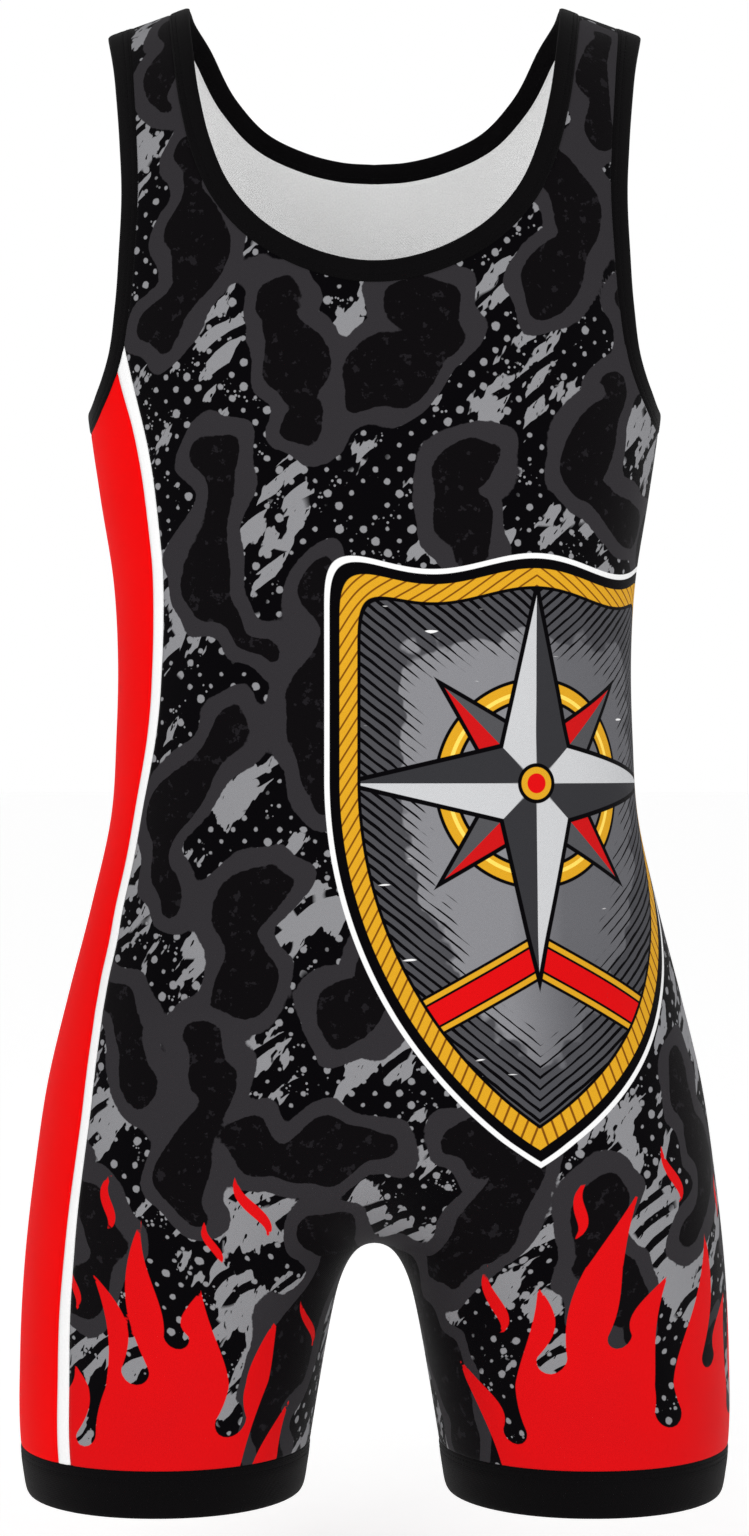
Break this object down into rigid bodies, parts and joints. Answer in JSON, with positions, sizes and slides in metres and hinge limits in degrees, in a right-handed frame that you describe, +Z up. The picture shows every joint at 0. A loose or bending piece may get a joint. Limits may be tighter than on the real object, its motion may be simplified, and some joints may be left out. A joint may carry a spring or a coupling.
{
  "type": "wrestling singlet",
  "caption": "Sleeveless one-piece knit wrestling singlet with scoop neck, deep armholes, thigh-length legs and elastic leg bands, held in its worn, filled-out shape.",
  "frame": {"origin": "midway between the two shoulder straps, at the height of their highest points, where the wearer's shoulders hold the garment", "axes": "+Z up along the body, -Y towards the front of the garment, +X towards the wearer's left"},
  "size_m": [0.389, 0.2193, 0.8105],
  "materials": {
    "printed_knit": "smooth matt stretch knit with a dark mottled print",
    "red_knit": "smooth matt stretch knit, bright red",
    "white_knit": "smooth matt stretch knit, white",
    "black_binding": "matt black elastic knit tape"
  },
  "bodies": {
    "root": {"front": "printed_knit", "back": "printed_knit", "side_panel": "red_knit", "side_stripe": "white_knit", "neck_binding": "black_binding", "armhole_binding_left": "black_binding", "armhole_binding_right": "black_binding", "hem_band_left": "black_binding", "hem_band_right": "black_binding"}
  },
  "joints": []
}
